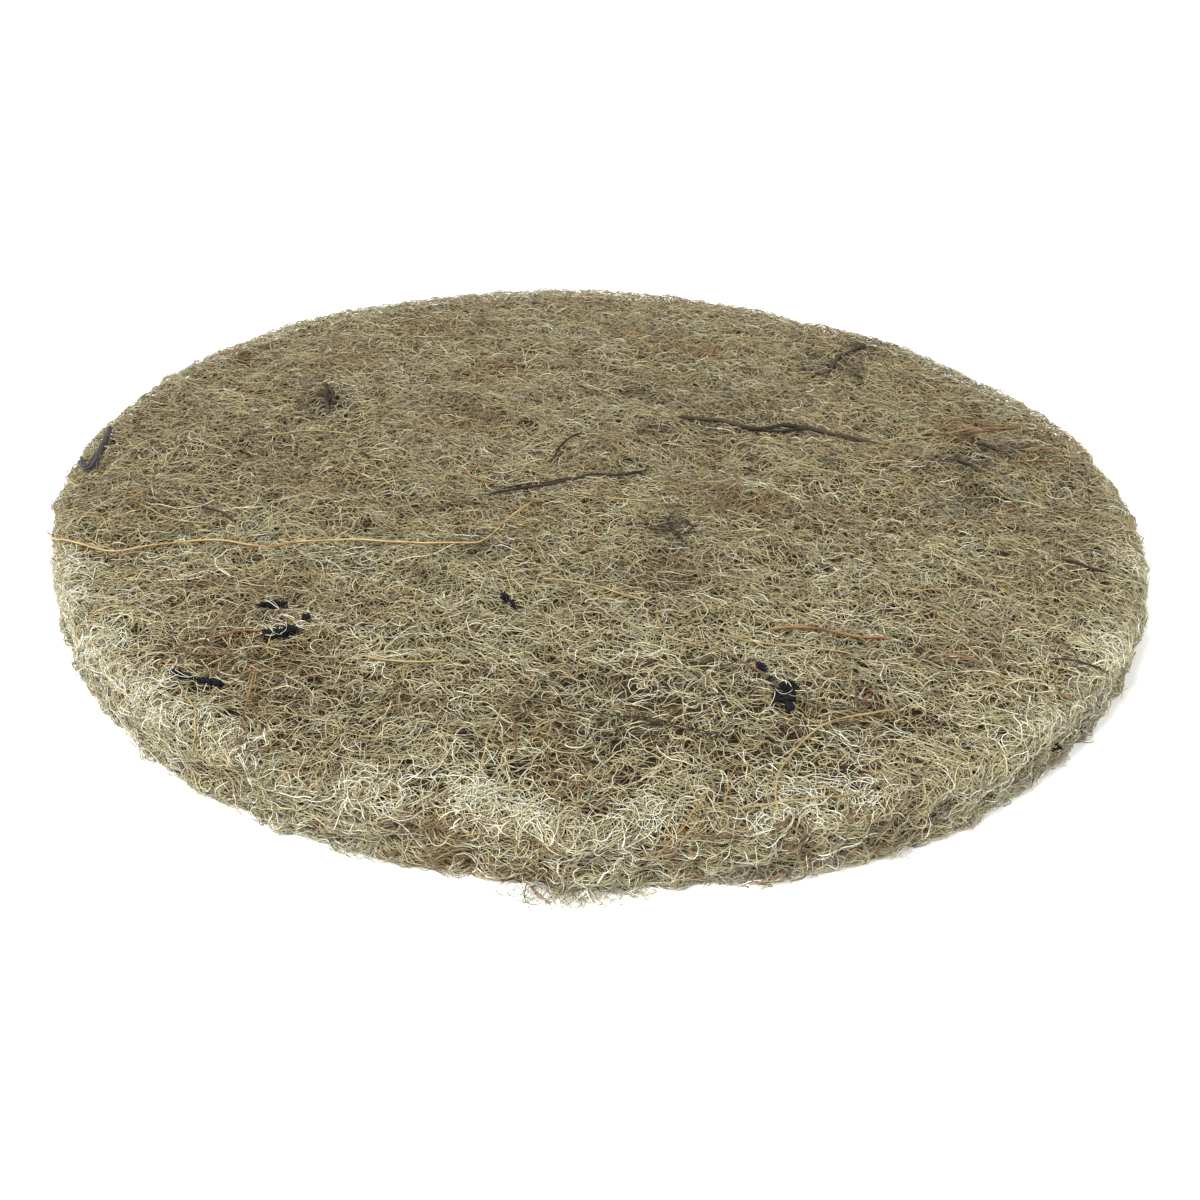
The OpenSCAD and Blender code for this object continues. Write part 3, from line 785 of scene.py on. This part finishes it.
def wool_tufts(name, node, mat, list_, rim_list=()):
    """Matted tufts: each (x, y, heading in degrees, length, width, fibres) becomes a dense bundle of short thick fibres."""
    bun = Bundle()
    for x0, y0, hd, ln, wd, n in list_:
        n = int(1.5 * n)
        a = math.radians(hd)
        one = 0.24 + 0.20 * ln                            # length of one fibre
        h = a + rng.normal(0, 0.30, n) + np.where(rng.uniform(0, 1, n) < 0.5, 0, math.pi)
        half = max(ln - one, 0.1) / 2
        u, v = rng.uniform(-half, half, n), rng.normal(0, 0.30, n).clip(-0.5, 0.5) * wd
        v = v * np.sqrt(np.clip(1 - (u / (half + 0.25)) ** 2, 0.1, 1))
        x = x0 + u * math.cos(a) - v * math.sin(a) - 0.5 * one * np.cos(h)
        y = y0 + u * math.sin(a) + v * math.cos(a) - 0.5 * one * np.sin(h)
        D = np.stack([np.cos(h), np.sin(h), np.zeros(n)], 1)
        P = np.stack([x, y, np.full(n, T)], 1)
        pts, nrm = grow(P, D, 6, np.full(n, one / 6), 1.2, 0.6, rng.uniform(-0.26, 0.05, n), 0.04 * np.ones(n), crimp=1.0)
        bun.add(pts, nrm, radii(n, 0.040, 0.3), np.zeros(n, int))
    for az, z0, n in rim_list:                            # small ones caught in the rim
        th = math.radians(az) + rng.normal(0, 0.28, n).clip(-0.5, 0.5) / R0
        P = np.stack([np.cos(th) * (R0 + 1), np.sin(th) * (R0 + 1), z0 + rng.normal(0, 0.12, n).clip(-0.2, 0.2)], 1)
        s = np.where(rng.uniform(0, 1, n) < 0.5, 1, -1)
        D = np.stack([-np.sin(th) * s, np.cos(th) * s, rng.normal(0, 0.5, n)], 1)
        pts, nrm = grow(P, unit(D), 6, np.full(n, 0.06), 1.4, 0.6, rng.uniform(-0.14, 0.05, n), 0.04 * np.ones(n), crimp=1.0)
        bun.add(pts, nrm, radii(n, 0.045, 0.3), np.zeros(n, int))
    o = bun.write(name, node, [mat], 1)[0]
    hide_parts(node)
    return o


wool_tufts("black_wool_tuft_mats", "black_wool_tufts", ink,
           [(-19.35, -19.05, 16, 2.0, 0.22, 60), (-18.35, -21.75, 24, 2.3, 0.62, 150), (-17.1, -20.25, 80, 0.7, 0.35, 50),
            (-22.65, -26.6, -14, 1.5, 0.24, 44), (-21.0, -26.95, -10, 1.7, 0.30, 60),
            (-5.6, -16.9, -62, 0.7, 0.4, 44), (-5.1, -17.5, -62, 1.3, 0.08, 12),
            (11.0, -25.2, 80, 1.3, 0.85, 130), (10.7, -25.7, 30, 1.2, 0.7, 70), (10.6, -26.3, 4, 1.5, 0.7, 110), (10.85, -27.1, 0, 0.8, 0.35, 34),
            (9.6, -23.4, -40, 0.9, 0.4, 44), (10.0, -24.7, -50, 0.6, 0.3, 16)],
           [(319.9, 1.05, 12), (314.6, 1.75, 18), (321.6, 1.3, 5)])


def curls(name, node, mat, paths, n, spread, rad):
    """A lock: many strands that keep near one path."""
    Vs, Qs, Ts, off = [], [], [], 0
    r = np.random.default_rng(91)
    for p in paths:
        for k in range(n):
            o = r.normal(0, spread, 3)
            q = [(a[0] + o[0] + r.normal(0, spread * 0.4), a[1] + o[1] + r.normal(0, spread * 0.4), a[2] + o[2] * 0.6) for a in p]
            V, Q, Tr = strand_mesh(spline(q, 0.16), rad * r.uniform(0.6, 1.2), 6)
            Vs.append(V)
            Qs.append(Q + off)
            Ts.append(Tr + off)
            off += len(V)
    o = make_mesh(name, np.vstack(Vs), np.vstack(Qs), np.vstack(Ts), [mat])
    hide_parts(node)
    return o


def over(list_):
    """x, y, height over the skin -> points above the face or its rounded shoulder."""
    q = np.array(list_, float)
    S, N = skin(np.stack([q[:, 0], q[:, 1], np.full(len(q), T)], 1), -q[:, 2])
    return [tuple(v) for v in S]


curls("rim_dark_lock_strands", "rim_dark_lock", slate,
      [over([(-36.69, 3.86, 0.02), (-36.48, 2.54, 0.1), (-36.27, 1.25, 0.12), (-36.11, -0.34, 0.12), (-35.99, -1.73, 0.12), (-35.98, -2.8, 0.08)]),
       over([(-36.11, -0.34, 0.1), (-35.94, -1.9, 0.16), (-35.98, -2.8, 0.12), (-36.41, -2.39, 0.12), (-37.04, -1.37, 0.1), (-37.4, -0.63, 0.02)])],
      11, 0.10, 0.055)


def splinters(name, node, mat, list_, rim_list=()):
    """Flecks of plant matter: thin ridged splinters with frayed, pointed ends, half under the nap."""
    Vs, Qs, Ts, off = [], [], [], 0
    r = np.random.default_rng(5)
    for x0, y0, hd, ln, wd, hgt in list(list_) + list(rim_list):
        on_rim = (x0, y0, hd, ln, wd, hgt) in rim_list   # then x0 is an azimuth in degrees and y0 a height
        m, k = 14, 10
        s = np.linspace(0, 1, m)
        wdt = wd * 0.34 * (np.sin(np.pi * s) ** 0.55) * (1 + 0.18 * np.sin(9 * s + r.uniform(0, 6))) + 0.02
        bend = 0.08 * ln * np.sin(np.pi * s + r.uniform(-0.5, 0.5))
        a = math.radians(hd)
        path = np.stack([(s - 0.5) * ln, bend, np.zeros(m)], 1)
        ph = TAU * np.arange(k) / k
        rid = 1 + 0.22 * np.sin(3 * ph + r.uniform(0, 6))
        ring = np.stack([np.repeat(path[:, None, 0], k, 1),
                         path[:, None, 1] + wdt[:, None] * np.cos(ph)[None] * rid[None],
                         wdt[:, None] * 0.34 * np.sin(ph)[None] * rid[None]], -1)
        X = ring[..., 0] * math.cos(a) - ring[..., 1] * math.sin(a)
        Y = ring[..., 0] * math.sin(a) + ring[..., 1] * math.cos(a)
        if on_rim:
            th = math.radians(x0) + X.ravel() / R0
            S, N = skin(np.stack([(R0 + 1) * np.cos(th), (R0 + 1) * np.sin(th), y0 + Y.ravel()], 1), np.zeros(m * k))
        else:
            S, N = skin(np.stack([x0 + X.ravel(), y0 + Y.ravel(), np.full(m * k, T)], 1), np.zeros(m * k))
        V = S + N * (ring[..., 2].ravel() + hgt)[:, None]
        e0, e1 = V[:k].mean(0), V[-k:].mean(0)
        V = np.vstack([V, e0, e1])
        i = np.arange(m - 1)[:, None]
        j = np.arange(k)[None, :]
        j1 = (j + 1) % k
        Q = np.stack([i * k + j, i * k + j1, (i + 1) * k + j1, (i + 1) * k + j], -1).reshape(-1, 4)
        j, j1 = j[0], j1[0]
        Tr = np.vstack([np.stack([np.full(k, m * k), j1, j], -1), np.stack([np.full(k, m * k + 1), (m - 1) * k + j, (m - 1) * k + j1], -1)])
        Vs.append(V)
        Qs.append(Q + off)
        Ts.append(Tr + off)
        off += len(V)
    o = make_mesh(name, np.vstack(Vs), np.vstack(Qs), np.vstack(Ts), [mat])
    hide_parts(node)
    return o


straw = hair_mat("dry_plant", [(0.30, (0.030, 0.013, 0.006)), (0.5, (0.085, 0.041, 0.014)), (0.72, (0.16, 0.092, 0.034))], 0.7, 1400)
splinters("plant_fleck_splinters", "plant_flecks", straw,
          [(21.9, -21.4, -30, 1.7, 0.32, 0.02), (15.4, -25.6, 55, 1.3, 0.26, 0.0), (-27.2, -24.4, 6, 1.1, 0.35, 0.04),
           (4.8, -11.6, 80, 1.0, 0.25, 0.0), (29, -2.5, 24, 1.3, 0.3, 0.0), (-14.5, 20.5, -12, 1.6, 0.35, 0.0),
           (12, 24, 40, 1.2, 0.3, 0.0), (-28.8, -23.7, 4, 0.9, 0.3, 0.04), (-30.3, 18.5, 60, 1.3, 0.5, 0.02),
           (-8, 18.3, 10, 1.4, 0.4, 0.0), (26.8, -24.6, -40, 1.0, 0.3, 0.04), (14.0, -33.0, 30, 0.9, 0.22, 0.0)],
          [(276.5, 3.15, 24, 1.2, 0.26, 0.03), (277.7, 2.75, -30, 0.9, 0.22, 0.02), (286.3, 2.55, 18, 1.2, 0.30, 0.03),
           (258.9, 3.1, -20, 0.9, 0.30, 0.03), (248.6, 1.65, 28, 1.0, 0.26, 0.03), (255.3, 0.95, 20, 0.7, 0.22, 0.04),
           (266.0, 3.05, 4, 1.5, 0.20, 0.0)])

# the loose hair at the front edge, and the clear loop beside it, as they lie on the surface
loose = [(-3.3, -36.7, 0.6), (-3.04, -37.15, 0.5), (-2.66, -37.58, 0.35), (-2.07, -38.15, 0.17), (-1.6, -38.48, 0.1)]
V, Q, Tr = strand_mesh(spline(loose, 0.1), 0.075, 8, 0.5)
stray = make_mesh("stray_edge_hair_strand", V, Q, Tr, [hair_mat("stray_hair", [(0.35, (0.10, 0.05, 0.03)), (0.65, (0.26, 0.15, 0.10))], 0.4)])
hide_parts("stray_edge_hair")
loop = [(-2.4, -37.0, 0.5), (-1.7, -37.15, 0.3), (-1.2, -37.5, 0.12), (-1.25, -37.85, 0.07), (-1.6, -38.0, 0.07), (-2.0, -37.85, 0.07)]
V, Q, Tr = strand_mesh(spline(loop, 0.08), 0.026, 6, 0.3)
o = make_mesh("stray_wool_loop", V, Q, Tr, [WOOL_MATS[1]])

# ------------------------------------------------------------------ stage, light and camera
def stage_plane():
    me = bpy.data.meshes.new("floor")
    s = 40.0
    me.from_pydata([(-s, -s, 0), (s, -s, 0), (s, s, 0), (-s, s, 0)], [], [(0, 1, 2, 3)])
    o = bpy.data.objects.new("floor", me)
    bpy.context.scene.collection.objects.link(o)
    m = bpy.data.materials.new("floor_paper")
    m.use_nodes = True
    b = m.node_tree.nodes["Principled BSDF"]
    b.inputs["Base Color"].default_value = (0.92, 0.92, 0.915, 1)
    b.inputs["Roughness"].default_value = 0.9
    b.inputs["Specular IOR Level"].default_value = 0.1
    me.materials.append(m)


stage_plane()

world = bpy.data.worlds.new("studio")
bpy.context.scene.world = world
world.use_nodes = True
bg = world.node_tree.nodes["Background"]
bg.inputs["Color"].default_value = (1.0, 0.99, 0.965, 1)
bg.inputs["Strength"].default_value = 0.64


def softbox(name, pos, power, size, colour):
    d = bpy.data.lights.new(name, "AREA")
    d.energy = power
    d.size = size
    d.color = colour
    o = bpy.data.objects.new(name, d)
    bpy.context.scene.collection.objects.link(o)
    o.location = pos
    o.rotation_euler = (Vector((0, 0, 0)) - Vector(pos)).to_track_quat("-Z", "Y").to_euler()


softbox("key", (-0.28, -0.22, 0.42), 6.4, 0.22, (1.0, 0.985, 0.94))
softbox("fill", (0.35, -0.30, 0.25), 2.3, 0.35, (1.0, 0.99, 0.965))
softbox("back", (0.05, 0.45, 0.40), 0.9, 0.30, (1.0, 0.99, 0.97))

bpy.context.scene.view_settings.view_transform = "Standard"
bpy.context.scene.view_settings.look = "None"


def camera():
    """The photograph's viewing angle: about 30 degrees above the disc and close to it, with a slight roll."""
    el, roll, pan, pitch = (math.radians(a) for a in (29.66, 2.59, -0.16, -3.30))
    dist = 2.649 * R0 * MM
    c = Vector((0, -math.cos(el), math.sin(el))) * dist
    fwd = (-c).normalized()
    right = Vector((1, 0, 0))
    up = right.cross(fwd)
    q = Matrix.Rotation(pan, 3, up)
    fwd, right = q @ fwd, q @ right
    q = Matrix.Rotation(pitch, 3, right)
    fwd, up = q @ fwd, q @ up
    r2 = right * math.cos(roll) + up * math.sin(roll)
    u2 = -right * math.sin(roll) + up * math.cos(roll)
    d = bpy.data.cameras.new("camera")
    d.sensor_width = 36
    d.lens = 40.5
    d.clip_start = 0.002
    d.clip_end = 100
    o = bpy.data.objects.new("camera", d)
    bpy.context.scene.collection.objects.link(o)
    m = Matrix((r2, u2, -fwd)).transposed().to_4x4()
    m.translation = c
    o.matrix_world = m
    bpy.context.scene.camera = o


camera()

bpy.context.view_layer.update()
